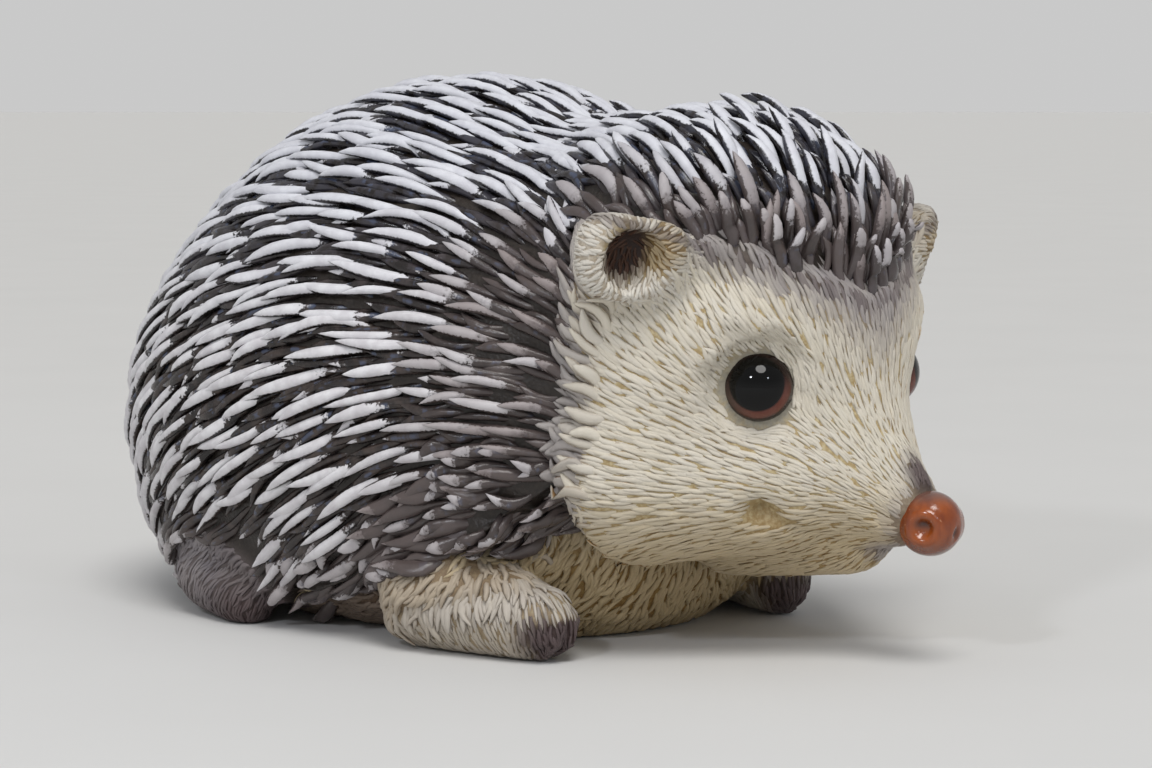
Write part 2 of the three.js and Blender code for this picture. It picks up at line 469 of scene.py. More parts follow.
def patch(p, place, low, high):
    """1 in the middle of a (centre, size) patch and 0 outside it."""
    return 1 - ease(low, high, span(p, *place))


def markings(p, part):
    """The same numbers for skin and coat: grey, dark paint and painted shade, warm, pale and bowl, each from
    0 to 1.
    """
    x, y, z = xyz(p)
    head, ears = among(part, "head", "trunk"), among(part, *EARS)
    over_fringe = above_fringe(p)
    brow = ease(0.36 * np.abs(x) - 13, -0.5, over_fringe) * (y < -30)
    ruff = ease(-2.4, 1.5, behind_ruff(p) + 1.2 * wave(p, 4.0)) * (z > 14)
    # painted shadow under the overhang of the fringe
    recess = bell((over_fringe + RECESS_DEPTH) / RECESS_DEPTH) * (y < -38)
    grey = np.maximum(0.85 * brow, 0.75 * ruff * head)
    grey = np.maximum(grey, 0.75 * patch(p, BRIDGE, 0.5, 1.4))
    grey = np.maximum(grey, 0.6 * ease(3.4, 0.8, span(p, NOSE) - NOSE_RADIUS))
    grey = np.maximum(grey, 0.75 * patch(p, NOSE_BOTTOM, 0.6, 1.4))
    # painted shade along the front of the mouth's crease, under the nose
    lips = np.minimum(*[to_line(p.reshape(-1, 3), line[:2], [0, 0])[0] for line in MOUTH.values()])
    dark_paint_and_shade = np.maximum(0.95 * patch(p, NOSE_TOP, 0.4, 1.45), 0.7 * recess)
    dark_paint_and_shade = np.maximum(dark_paint_and_shade, 0.8 * bell(lips.reshape(x.shape) / LIP_WIDTH) * head)
    jaw = ease(27, 16, z + 0.12 * (y + 60)) * head
    warm = np.where(head, 0.75 * jaw, ease(26, 10, z))
    warm = np.maximum(warm, 0.4 * bell(nearer_span(p, MOUTH_CORNER) / CORNER_WIDTH))
    warm = np.where(among(part, "belly"), np.maximum(warm, 0.75), warm)
    bowl = np.zeros_like(x)
    for side in SIDES:
        ear = among(part, "ear_" + side)
        near = span(p, EAR_DARK[side], EAR_DARK_SIZE)
        bowl = np.maximum(bowl, (1 - ease(0.75, 1.25, near)) * ear)
        grey = np.where(ear, 0.15 * ease(0.9, 1.6, near), grey)
        warm = np.where(ear, 1 - ease(0.55, 1.2, span(p, EAR_OCHRE[side]) / EAR_OCHRE_SIZE), warm)
    pale = np.where(ears, 0.9 * (1 - bowl) * (1 - warm), 0.5 * head * ease(20, 30, z) * (1 - brow))
    for name in FORELEGS:
        here = among(part, name)
        front = centre_mm(name)[1] - size_mm(name)[1] / 2
        toes = 1 - ease(front + 3.5, front + 8.5, y + 0.5 * wave(p, 3.0))
        toes = toes * ease(7.5, 5.0, z + 0.8 * wave(p, 2.6))
        paw = ease(0.8, -0.8, above_paw(p))
        dark_paint_and_shade = np.where(here, np.maximum(dark_paint_and_shade, toes), dark_paint_and_shade)
        warm = np.where(here, 0.75 - 0.5 * paw, warm)
        pale = np.where(here, 0.4 * paw * ease(3.0, 6.0, z), pale)
        grey = np.where(here, 0.42, grey)
    # painted shade: the belly darkens towards the back, under the body
    dark_paint_and_shade = np.where(among(part, "belly"), 0.8 * ease(-9, 2, y), dark_paint_and_shade)
    hind = among(part, *HINDLEGS) | (off_hind_feet(p) < 1.6)
    grey = np.where(hind, 1.0, grey)
    # painted shade: the hind feet darken towards the floor and towards the front, under the body and quills
    dark_paint_and_shade = np.where(hind, 0.1 + 0.5 * ease(9, 1, z) + 0.45 * ease(36, 25, y), dark_paint_and_shade)
    warm = np.where(hind, 0, warm)
    return {"grey": grey, "dark_paint_and_shade": dark_paint_and_shade, "warm": warm, "pale": pale, "bowl": bowl}


# ---- lie of the coat

CLIMB_Y, CLIMB_BY_Y = [-60, -46, -30, -8, 20, 60], [1.3, 1.0, 0.35, -0.25, -0.42, -0.8]
CLIMB_Z, CLIMB_BY_Z = [8, 25, 45, 62], [-0.5, -0.2, 0.1, 0.25]
LEG_LIE_Y, LEG_LIE_Z = [-28, -8], [10.6, 15.5]  # below this line the shoulder's fur turns back


def spine_lie(p):
    """Where a quill points before it is laid on the skin: back, up the crown, down the flanks."""
    x, y, z = xyz(p)
    climb = np.interp(y, CLIMB_Y, CLIMB_BY_Y)
    climb = climb + np.interp(z, CLIMB_Z, CLIMB_BY_Z) * (y > -45) + 0.12 * wave(p, 40)
    sway = 0.1 * wave(p, 31, 2.0)
    outward = 0.9 * np.tanh(x / 10) * ease(-16, -30, y) * ease(56, 38, z)
    return unit(np.stack([sway + outward, np.ones_like(y), climb], -1))


def fur_lie(p, part):
    """Where the fur points: back from the nose, down the chest, out over the ears and paws."""
    y, z = p[..., 1, None], p[..., 2, None]
    lift = ease(38, 52, z) * np.array([0, 0, 0.45])
    sag = ease(30, 12, z) * np.array([0, 0, -0.35])
    lie = unit(unit(p - (NOSE + [0, 1.0, -1.0])) + lift + sag)
    for side in SIDES:
        ray = p - EYE[side]
        away = np.linalg.norm(ray, axis=-1, keepdims=True)
        inward = np.minimum(dot(lie, ray / away), 0) * bell((away - EYE_RADIUS) / 4.0)
        lie = unit(lie - inward * ray / away)
    below = unit(np.array([0, 0.75, -0.65]) + 0.0 * p)
    neck = ease(-48, -34, y) * ease(24, 14, z)
    lie = unit(lie * (1 - neck) + below * neck)
    under = ease(14, 3, z)
    curly = (0.55 * wave(p, 8.0))[..., None] * np.array([1.0, 0.2, 0.3])
    belly = unit(below * (1 - under) + np.array([0, 1, -0.1]) * under + curly)
    lie = np.where(among(part, "belly")[..., None], belly, lie)
    shoulder = ease(-0.5, 1.5, above_paw(p))[..., None]
    back = 0.75 * ease(0.5, 3.5, np.interp(y, LEG_LIE_Y, LEG_LIE_Z) - z)
    leg = np.array([0, -0.25, -1.0]) * (1 - shoulder)
    leg = leg + (np.array([0, -0.1, -0.9]) + back * [0, 1, 0]) * shoulder
    leg = unit(leg + 0.25 * wave(p, 9.0)[..., None] * np.array([0, 1.0, 0]))
    lie = np.where(among(part, *LEGS)[..., None], leg, lie)
    for side in SIDES:
        lie = np.where(among(part, "ear_" + side)[..., None], unit(p - EAR_BOWL_PLACE[side]), lie)
    return lie


# ---- tufts

STEER = 0.35  # how strongly each step of a path turns to the lie of the coat


def scattered(wanted, count):
    """Random points on the skin where wanted(points, parts) says yes, with their parts and normals."""
    corners = skin_points[skin_quads]
    area = np.linalg.norm(np.cross(corners[:, 2] - corners[:, 0], corners[:, 3] - corners[:, 1]), axis=1)
    keep = wanted(corners.mean(1), skin_part[skin_quads[:, 0]])
    area = area * keep
    chosen = rng.choice(len(area), count, p=area / area.sum())
    s, t = rng.random((2, count, 1))
    quad = corners[chosen]
    places = (quad[:, 0] * (1 - s) + quad[:, 1] * s) * (1 - t) + (quad[:, 3] * (1 - s) + quad[:, 2] * s) * t
    return places, skin_normals[skin_quads[chosen, 0]], skin_part[skin_quads[chosen, 0]]


def thinned(places, normals, lie, length, width, taken=None):
    """The numbers of the places that stay when each clears an oval of its own round it.

    Taken is (places, normals, lie, share) of tufts that stand already, each of which clears that share.
    """
    along = flat_on(lie, normals)
    across = np.cross(normals, along)
    tree = KDTree(len(places))
    for i, place in enumerate(places):
        tree.insert(place, i)
    tree.balance()
    free = np.ones(len(places), bool)

    def clear(place, ahead, side, far, wide):
        near = np.array([found[1] for found in tree.find_range(place, far)], int)
        step = places[near] - place
        free[near[(step @ ahead / far) ** 2 + (step @ side / wide) ** 2 < 1]] = False

    if taken:
        old_places, old_normals, old_lie, share = taken
        old_along = flat_on(old_lie, old_normals)
        old_across = np.cross(old_normals, old_along)
        for i in range(len(old_places)):
            clear(old_places[i], old_along[i], old_across[i], length.mean() * share, width.mean() * share)
    kept = []
    for i in range(len(places)):
        if free[i]:
            kept.append(i)
            clear(places[i], along[i], across[i], length[i], width[i])
    return np.array(kept)


def combed(places, normals, lie_at, length, turn, stations, land=on_skin):
    """Paths over the skin that follow the lie of the coat: points, normals and headings."""
    ahead = flat_on(lie_at(places), normals)
    side = np.cross(normals, ahead)
    ahead = unit(ahead * np.cos(turn)[:, None] + side * np.sin(turn)[:, None])
    step = (length / (stations - 1))[:, None]
    path = [(places, normals, ahead)]
    for _ in range(stations - 1):
        places, normals = land(places + ahead * step, normals)
        ahead = flat_on(ahead * (1 - STEER) + lie_at(places) * STEER, normals)
        path.append((places, normals, ahead))
    return [np.stack(column, 1) for column in zip(*path)]


def tufts(path, width, rise, curl, lift, roll, shape, section):
    """Closed leaves along the paths, as their middle lines and their rings.

    shape is a table of (share of the length, width, height of the middle, thickness), where width and
    thickness are shares of the tuft's own; section is a ring of (across, up) points.
    """
    spot, normal, ahead = path
    t = np.linspace(0, 1, spot.shape[1])
    shape = np.array(shape)
    wide, middle, thick = (np.interp(t, shape[:, 0], shape[:, i]) for i in (1, 2, 3))
    ring = np.array(section)
    lift, curl, roll = lift[:, None], curl[:, None], roll[:, None]
    side = np.cross(normal, ahead)
    centre = spot + normal * (middle * rise[:, None] + lift * t**1.4)[..., None]
    centre = centre + side * (curl * np.sin(math.pi * t) * width[:, None])[..., None]
    turn = np.cos(roll)[..., None], np.sin(roll)[..., None]
    across = side * turn[0] + normal * turn[1]
    up = normal * turn[0] - side * turn[1]
    half = (wide * width[:, None] / 2)[:, :, None, None]
    high = (thick * rise[:, None])[:, :, None, None]
    body = centre[:, :, None] + across[:, :, None] * (half * ring[:, 0, None])
    body = body + up[:, :, None] * (high * ring[:, 1, None])
    return centre, body


def leaf_faces(count, stations, around):
    """Quads and end fans of closed leaves, with the two end points last."""
    k, j = np.meshgrid(np.arange(stations - 1), np.arange(around), indexing="ij")
    here, j_next = k * around, (j + 1) % around
    quad = np.stack([here + j, here + j_next, here + around + j_next, here + around + j], -1)
    ring = np.arange(around)
    last = (stations - 1) * around
    root = np.stack([np.full(around, stations * around), (ring + 1) % around, ring], -1)
    tip = np.stack([np.full(around, stations * around + 1), last + ring, last + (ring + 1) % around], -1)
    offset = (np.arange(count) * (stations * around + 2))[:, None, None]
    spread = lambda block: (offset + block.reshape(1, -1, block.shape[-1])).reshape(-1, block.shape[-1])
    return [spread(quad), spread(np.concatenate([root, tip]))]


ATLAS_COLUMNS, ATLAS_ROWS, ATLAS_EDGE = 3, 2, 0.01


def unwrapped(p, n):
    """The skin's own shape laid out as six plates, one for each side that it faces."""
    low, high = skin_points.min(0), skin_points.max(0)
    share = (p - low) / (high - low).max()
    axis = np.abs(n).argmax(1)
    plate = axis * 2 + (n[np.arange(len(n)), axis] > 0)
    u = np.where(axis == 0, share[:, 1], share[:, 0])
    v = np.where(axis == 2, share[:, 1], share[:, 2])
    cell = np.array([1 / ATLAS_COLUMNS, 1 / ATLAS_ROWS])
    corner = np.stack([plate % ATLAS_COLUMNS, plate // ATLAS_COLUMNS], 1) * cell
    room = cell.min() - 2 * ATLAS_EDGE
    return corner + ATLAS_EDGE + np.stack([u, v], 1) * room


BAKE_PATCH = 0.003  # size of a tuft on the OFBake map
FLOOR_GAP = 0.25  # no tuft comes nearer to the floor than this
END_REACH = 0.35  # the end points stand this share of a step beyond the end rings


def coat_piece(name, path, sizes, shape, section, material, slot, **looks):
    """One joined mesh of tufts with its markings and its OFBake map.

    sizes are (width, rise, curl, lift, roll), and looks are more painted numbers, one for each tuft.
    """
    centre, body = tufts(path, *sizes, shape, section)
    count, stations, around = body.shape[:3]
    raised = np.maximum(0, FLOOR_GAP - body[..., 2].min(2))
    body[..., 2] += raised[..., None]
    centre[..., 2] += raised
    ends = centre[:, [0, -1]] + (centre[:, [0, -1]] - centre[:, [1, -2]]) * END_REACH
    points = np.concatenate([body.reshape(count, -1, 3), ends], 1)
    obj = from_arrays(name, points.reshape(-1, 3), leaf_faces(count, stations, around))
    along = np.concatenate([np.repeat(np.linspace(0, 1, stations), around), [0, 1]])
    ring = np.concatenate([np.tile(np.arange(around) / around, stations), [0.5, 0.5]])
    plot = np.stack([along, ring], 1) * BAKE_PATCH
    uv = (unwrapped(path[0][:, 0], path[1][:, 0])[:, None] + plot[None]).reshape(-1, 2)
    corner = np.zeros(len(obj.data.loops), int)
    obj.data.loops.foreach_get("vertex_index", corner)
    layer = obj.data.uv_layers.new(name="OFBake")
    layer.data.foreach_set("uv", uv[corner].astype(np.float32).ravel())
    looks.update(markings(path[0][:, stations // 2], nearest_node(path[0][:, 0])))
    looks = {key: np.repeat(value, points.shape[1]) for key, value in looks.items()}
    crest = np.tile(crest_of(section, stations), count)
    paint_on(obj, along=np.tile(along, count), crest=crest, **looks)
    obj.data.materials.append(material)
    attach(obj, "root")


def crest_of(section, stations):
    """How high each point of a leaf sits on its ring, from 0 at the belly to 1 on the ridge."""
    up = np.array(section)[:, 1]
    share = (up - up.min()) / np.ptp(up)
    return np.concatenate([np.tile(share, stations), [0.5, 0.8]])


# ---- materials


def linear(colour):
    """A #rrggbb colour as linear red, green, blue and 1."""
    parts = [int(colour[i : i + 2], 16) / 255 for i in (1, 3, 5)]
    return [c / 12.92 if c <= 0.04045 else ((c + 0.055) / 1.055) ** 2.4 for c in parts] + [1.0]


class Paint:
    """A material and short words to build its nodes.

    Where a word takes a value, that is a number, a socket, a #rrggbb colour or the name of a painted number.
    """

    def __init__(self, name, **surface):
        self.material = bpy.data.materials.new(name)
        self.material.use_nodes = True
        self.nodes = self.material.node_tree.nodes
        self.links = self.material.node_tree.links
        self.surface = self.nodes["Principled BSDF"]
        for key, value in surface.items():
            self.surface.inputs[key.replace("_", " ")].default_value = value
        self.place = self.nodes.new("ShaderNodeTexCoord").outputs["Object"]

    def put(self, socket, value):
        if isinstance(value, str):
            value = linear(value) if value.startswith("#") else self.value(value)
        if isinstance(value, bpy.types.NodeSocket):
            self.links.new(value, socket)
        else:
            socket.default_value = value

    def node(self, kind, inputs, output=0, **settings):
        """A new node's output, once the node has its settings and inputs."""
        node = self.nodes.new("ShaderNode" + kind)
        for key, value in settings.items():
            setattr(node, key, value)
        for key, value in inputs.items():
            self.put(node.inputs[key], value)
        return node.outputs[output]

    def value(self, name):
        return self.node("Attribute", {}, "Fac", attribute_name=name)

    def times(self, a, b, clamp=False):
        return self.node("Math", {0: a, 1: b}, operation="MULTIPLY", use_clamp=clamp)

    def plus(self, a, b):
        return self.node("Math", {0: a, 1: b}, operation="ADD")

    def minus(self, a, b):
        return self.node("Math", {0: a, 1: b}, operation="SUBTRACT")

    def noise(self, size, detail=3.0, roughness=0.55, stretch=(1, 1, 1)):
        """Noise from about 0 to 1 with features of about this many millimetres."""
        factors = [s / (size * MM) for s in stretch]
        scaled = self.node("VectorMath", {0: self.place, 1: factors}, operation="MULTIPLY")
        inputs = {"Vector": scaled, "Scale": 1.0, "Detail": detail, "Roughness": roughness}
        return self.node("TexNoise", inputs, "Fac")

    def streaks(self, along, around):
        """Noise drawn out along each quill: so many features along it and round it."""
        inputs = {0: self.times("along", along), 1: self.times("crest", around), 2: self.times("seed", 97.0)}
        join = self.node("CombineXYZ", inputs)
        return self.node("TexNoise", {"Vector": join, "Scale": 1.0, "Detail": 3.0}, "Fac")

    def step(self, value, low, high):
        """A smooth rise from 0 to 1 between low and high."""
        inputs = {"Value": value, "From Min": low, "From Max": high}
        return self.node("MapRange", inputs, interpolation_type="SMOOTHSTEP")

    def mix(self, share, a, b):
        """A colour that goes from a to b."""
        return self.node("Mix", {0: share, 6: a, 7: b}, 2, data_type="RGBA")

    def blend(self, share, a, b):
        """A number that goes from a to b."""
        return self.node("Mix", {0: share, 2: a, 3: b}, data_type="FLOAT")

    def layered(self, colour, *layers):
        """A colour under layers of (share, colour), where a share can also be what times takes."""
        for share, over in layers:
            share = self.times(*share) if isinstance(share, tuple) else share
            colour = self.mix(share, colour, over)
        return colour

    def bump(self, height, depth, strength=1.0):
        inputs = {"Height": height, "Distance": depth * MM, "Strength": strength}
        self.put(self.surface.inputs["Normal"], self.node("Bump", inputs))

    def finish(self, colour, roughness):
        self.put(self.surface.inputs["Base Color"], colour)
        self.put(self.surface.inputs["Roughness"], roughness)
        return self.material


def fur_paint():
    """Cream fur: ochre washed into the grooves, pale dry brush on the crests."""
    p = Paint("fur_paint", Specular_IOR_Level=0.35)
    mottle = p.noise(7.0)
    fine = p.noise(0.5, 4.0)
    comb = p.streaks(1.6, 5.0)
    groove = p.layered(
        "#ab8550",
        ("warm", "#80602f"),
        ("pale", "#a88a66"),
        ("grey", "#53433d"),
        ("dark_paint_and_shade", "#2c1c1b"),
        ("bowl", "#1f100a"),
    )
    crest = p.layered(
        p.mix(mottle, "#cfc8bb", "#beb39c"),
        (("seed", 0.35), "#c3b492"),
        (("warm", 0.85), "#b09a72"),
        (("pale", 0.8), "#dfdbd2"),
        (("grey", p.blend(mottle, 0.6, 1.25), True), "#8c878b"),
        ("dark_paint_and_shade", "#554848"),
        ("bowl", "#3f2618"),
    )
    height = p.plus("crest", p.times(p.minus(fine, 0.5), 0.5))
    height = p.plus(height, p.times(p.minus(comb, 0.5), 0.7))
    p.bump(p.plus(p.times(fine, 0.5), comb), 0.16, 0.7)
    return p.finish(p.mix(p.step(height, 0.08, 0.5), groove, crest), p.blend(fine, 0.42, 0.62))


def spine_paint():
    """Near-black glossy brown with a crisp white dry brush over the ridges and tips, and a painted sheen:
    bluish highlight streaks on the ridges and a blue tint of reflected sky.
    """
    p = Paint("spine_paint", Specular_IOR_Level=0.5)
    fine = p.noise(0.45, 5.0, 0.65)
    broad = p.noise(2.2, 3.0)
    streak = p.streaks(9.0, 2.6)
    sheen = p.times(p.step(p.streaks(5.0, 1.2), 0.55, 0.63), p.step("crest", 0.78, 0.97))
    dark = p.layered(
        p.mix(p.step(broad, 0.38, 0.68), "#141010", "#3f3530"),
        (("painted_sky_sheen", p.step(broad, 0.4, 0.6)), "#353c4c"),
        ((sheen, 0.7), "#4b566f"),
        (("dusk", 0.85), "#5d5351"),
    )
    white = p.mix(p.step(broad, 0.3, 0.7), "#e1e0e3", "#cbc8cc")
    white = p.layered(white, (("painted_sky_sheen", 0.6), "#ced5e3"), ("dusk", "#908685"))
    ragged = p.minus(fine, 0.5)
    torn = p.plus(p.times(ragged, 0.16), p.times(p.minus(streak, 0.5), 0.4))
    reach = p.plus(p.minus("along", "start"), torn)
    edge = p.blend(p.step(reach, 0.0, 0.16), 0.98, p.blend("slim", 0.6, 0.84))
    wear = p.times(ragged, p.blend("dusk", 0.34, 1.1))
    ridge = p.plus(p.minus("crest", edge), wear)
    fade = p.blend("dusk", 0.05, 0.3)
    worn = p.times(p.step(reach, -0.04, fade), p.step(ridge, -0.06, 0.07))
    p.bump(fine, 0.1, 0.5)
    return p.finish(p.mix(worn, dark, white), p.blend(worn, 0.18, 0.5))


def skin_paint():
    """The cast body under the coat: fur colours on the face and belly, dark between the quills."""
    p = Paint("skin_paint", Specular_IOR_Level=0.4)
    fine = p.noise(0.6, 4.0)
    light = p.step(fine, 0.35, 0.7)
    groove = p.layered("#a28c62", ("warm", "#775a2c"))
    crest = p.layered("#bfb08c", ("warm", "#917644"))
    colour = p.layered(
        p.mix(light, groove, crest),
        (p.step("pale", 0.5, 0.85), p.mix(light, "#ad9f8a", "#cdc4b4")),
        ("lid", p.mix(fine, "#857f70", "#aba596")),
        ("grey", "#6a6261"),
        ("dark_paint_and_shade", "#372826"),
        ("bowl", "#231109"),
        ("quilled", p.mix(fine, "#1a1614", "#403832")),
    )
    p.bump(fine, 0.25, 0.7)
    return p.finish(colour, p.blend("quilled", 0.55, 0.34))


def eye_paint():
    """Black glass with a brown-red ring round the pupil, darkened at its top by painted shade under the lid.
    """
    p = Paint("eye_paint", Coat_Weight=0.35, Coat_Roughness=0.02, Specular_IOR_Level=0.1)
    ring = p.mix(p.noise(0.5, 3.0), "#5a2c24", "#76463a")
    ring = p.layered(ring, ("behind", "#4a3a34"), ("over", "#1a0b08"))
    colour = p.layered("#020202", (p.step("out", 0.72, 0.79), ring), (p.step("out", 0.88, 0.96), "#2a211d"))
    return p.finish(colour, 0.06)


def nose_paint():
    """Glossy orange-brown with darker runs and paler wear, with painted shade on its underside and in its
    nostrils and groove.
    """
    p = Paint("nose_paint", Coat_Weight=0.5, Coat_Roughness=0.05, Specular_IOR_Level=0.5)
    run = p.noise(3.0, 3.0, stretch=(1, 1, 0.4))
    speck = p.noise(0.6, 4.0)
    colour = p.layered(
        p.mix(p.step(run, 0.35, 0.7), "#6f2d08", "#984a13"),
        (("low", 0.7), "#5a2a12"),
        (("top", 0.65), "#64524c"),
        ("deep", "#3a170a"),
        ((p.step(speck, 0.68, 0.74), 0.5), "#c99a76"),
    )
    p.bump(speck, 0.12, 0.35)
    return p.finish(colour, p.blend(speck, 0.1, 0.26))


FUR, SPINE, SKIN, EYES, NOSES = fur_paint(), spine_paint(), skin_paint(), eye_paint(), nose_paint()

# ---- pieces

skin = from_arrays("skin", skin_points, [skin_quads])
quilled = ease(-0.5, 1.5, into_coat(skin_points)) * among(skin_part, *BACK)
lid = ease(1.7, 0.9, nearer_span(skin_points, EYE) - EYE_RADIUS)
paint_on(skin, quilled=quilled, lid=lid, **markings(skin_points, skin_part))
skin.data.materials.append(SKIN)
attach(skin, "root")
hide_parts(*FLESH)


def ball(centre, radius, axis, segments=64):
    """A ball of rings round an axis, as its points, its faces and the directions of the points."""
    axis = unit(np.array(axis, float))
    right = unit(np.cross(axis, [0, 0, 1.0]))
    up = np.cross(right, axis)
    rings = segments // 2
    polar = np.linspace(0, math.pi, rings + 1)[1:-1, None]
    turn = (np.arange(segments) * 2 * math.pi / segments)[None]
    ring = (np.sin(polar) * np.cos(turn))[..., None] * right + (np.sin(polar) * np.sin(turn))[..., None] * up
    ring = ring + (np.cos(polar) + 0 * turn)[..., None] * axis
    directions = np.concatenate([ring.reshape(-1, 3), [axis, -axis]])
    faces = [np.roll(block[:, ::-1], 1, 1) for block in leaf_faces(1, rings - 1, segments)]
    return centre + directions * radius, faces, directions


def make_eye(side):
    axis = EYE_AXIS[side]
    points, faces, directions = ball(EYE[side], EYE_RADIUS, axis)
    eye = from_arrays("eye_glass_" + side, points, faces)
    facing = directions @ axis
    out = np.where(facing > 0, np.sqrt(np.clip(1 - facing**2, 0, 1)), 1.0)
    # over darkens the top of the ring: painted shade under the lid
    over = ease(-0.35, 0.45, directions[:, 2])
    behind = ease(-0.1, 0.6, directions[:, 1] - facing * axis[1])
    paint_on(eye, out=out, over=over, behind=behind)
    eye.data.materials.append(EYES)
    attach(eye, "root")
    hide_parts("eye_" + side)


NOSTRIL, NOSTRIL_SIZE, NOSTRIL_DEPTH = both([0.93, -0.36, -0.06]), 0.33, 1.25
NOSTRIL_RIM, NOSTRIL_RIM_WIDTH, NOSTRIL_RIM_RISE = 0.54, 0.13, 0.2
GROOVE, GROOVE_SIZE, GROOVE_DEPTH = unit(np.array([0.0, -0.97, -0.22])), [0.11, 0.6, 0.17], 0.4


def make_nose():
    points, faces, directions = ball(NOSE, NOSE_RADIUS, (0, -1, 0.05), 96)
    shape = np.zeros(len(points))
    deep = np.zeros(len(points))
    for nostril in NOSTRIL.values():
        place = unit(nostril)
        away = np.arccos(np.clip(directions @ place, -1, 1))
        hole = np.exp(-((away / NOSTRIL_SIZE) ** 6))
        rim = bell((away - NOSTRIL_RIM) / NOSTRIL_RIM_WIDTH)
        shape -= NOSTRIL_DEPTH * hole - NOSTRIL_RIM_RISE * rim
        # the pits get painted shade, darkest under their upper rims
        over = ease(-0.14, 0.2, directions[:, 2] - place[2])
        deep = np.maximum(deep, hole * (0.15 + 0.85 * over))
    groove = bell(span(directions, GROOVE, GROOVE_SIZE))
    shape -= GROOVE_DEPTH * groove
    nose = from_arrays("nose_ball", points + directions * shape[:, None], faces)
    # low is painted shade on the underside of the ball; top is the grey of the fur over it
    top, low = ease(0.55, 0.95, directions[:, 2]), ease(-0.3, -0.9, directions[:, 2])
    paint_on(nose, deep=np.maximum(deep, 0.9 * groove), top=top, low=low)
    nose.data.materials.append(NOSES)
    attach(nose, "root")
    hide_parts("nose")


for eye_side in SIDES:
    make_eye(eye_side)
make_nose()

# ---- quills

RIDGE_RING = [(1, 0), (0.72, 0.62), (0, 1), (-0.72, 0.62), (-1, 0), (-0.6, -0.5), (0, -0.65), (0.6, -0.5)]
# Each row of a shape is a share of the length, then the width, middle and thickness there.
QUILL_SHAPE = [
    (0.00, 0.55, -0.65, 0.40),
    (0.12, 0.74, -0.15, 0.50),
    (0.35, 0.90, 0.18, 0.56),
    (0.52, 1.00, 0.45, 0.60),
    (0.68, 0.97, 0.60, 0.58),
    (0.82, 0.80, 0.66, 0.50),
    (0.93, 0.54, 0.66, 0.36),
    (1.00, 0.20, 0.62, 0.16),
]
POST_SHAPE = [
    (0.00, 0.45, -1.30, 0.40),
    (0.14, 0.85, -0.65, 0.55),
    (0.32, 1.00, 0.00, 0.60),
    (0.60, 0.90, 0.40, 0.50),
    (0.82, 0.86, 0.55, 0.50),
    (0.94, 0.70, 0.60, 0.42),
    (1.00, 0.40, 0.60, 0.24),
]
LEAF_SHAPE = [
    (0.00, 0.40, -0.80, 0.35),
    (0.16, 0.66, -0.20, 0.50),
    (0.36, 0.96, 0.30, 0.55),
    (0.52, 1.00, 0.55, 0.52),
    (0.70, 0.82, 0.72, 0.46),
    (0.86, 0.50, 0.78, 0.36),
    (1.00, 0.10, 0.74, 0.12),
]

STRAIGHT = 0.78  # a quill that the skin bends more than this is left out
EVEN = 1.5  # so is one that jumps a crease, where one step is this much longer than the rest
SMOOTH = 0.9  # and one that kinks, where the cosine between two of its steps is less than this
LONGEST, LOW_LONGEST = 1.7, 4.5  # a quill is no longer than this many times its height, or this at the hem
QUILL_CURL, QUILL_ROLL = 0.4, 0.18


def quills(name, roots, sizes, looks, shape=QUILL_SHAPE, stations=10):
    """A piece of quills: roots (places, normals), sizes (length, width, rise, lift, turn) and named looks."""
    places, normals = roots
    length, *sizes, turn = sizes
    length = np.minimum(length, np.maximum(LONGEST * places[:, 2], LOW_LONGEST))
    path = combed(places, normals, spine_lie, length, rng.normal(0, 1, len(places)) * turn, stations, on_back)
    spots = path[0]
    free = (off_hind_feet(spots) > -1.0).all(1) & (off_ears(spots[:, 1:]) > 0).all(1)
    free &= (spots[..., 2] > 0.4).all(1)
    free &= np.linalg.norm(spots[:, -1] - spots[:, 0], axis=1) > STRAIGHT * length
    steps = np.linalg.norm(np.diff(spots, axis=1), axis=2)
    free &= steps.max(1) < EVEN * steps.mean(1)
    for column in path[1:]:
        free &= (column[:, 1:] * column[:, :-1]).sum(2).min(1) > SMOOTH
    width, rise, lift = (value[free] for value in sizes)
    count = len(width)
    sizes = width, rise, rng.normal(0, QUILL_CURL, count), lift, rng.normal(0, QUILL_ROLL, count)
    looks = {key: value[free] for key, value in looks.items()}
    path = [column[free] for column in path]
    coat_piece(name, path, sizes, shape, RIDGE_RING, SPINE, "spine_paint", seed=rng.random(count), **looks)


def off_ears(p):
    """How far a point is outside the ears, beside them or behind them."""
    room = []
    for side in SIDES:
        axis = unit(EAR_OUT[side])
        ahead = dot(p - EAR[side], axis)
        beside = np.linalg.norm(p - EAR[side] - ahead * axis, axis=-1) - EAR_REACH
        room.append(np.maximum(beside, -EAR_BACK - ahead[..., 0]))
    return np.minimum(*room)


REGIONS = ["crown", "left", "right"]


def region(p):
    """The number of each point's region."""
    return np.where(p[:, 1] < -25, 0, np.where(p[:, 0] >= 0, 1, 2))


def on_crown(p):
    return ease(-30, -46, p[:, 1])


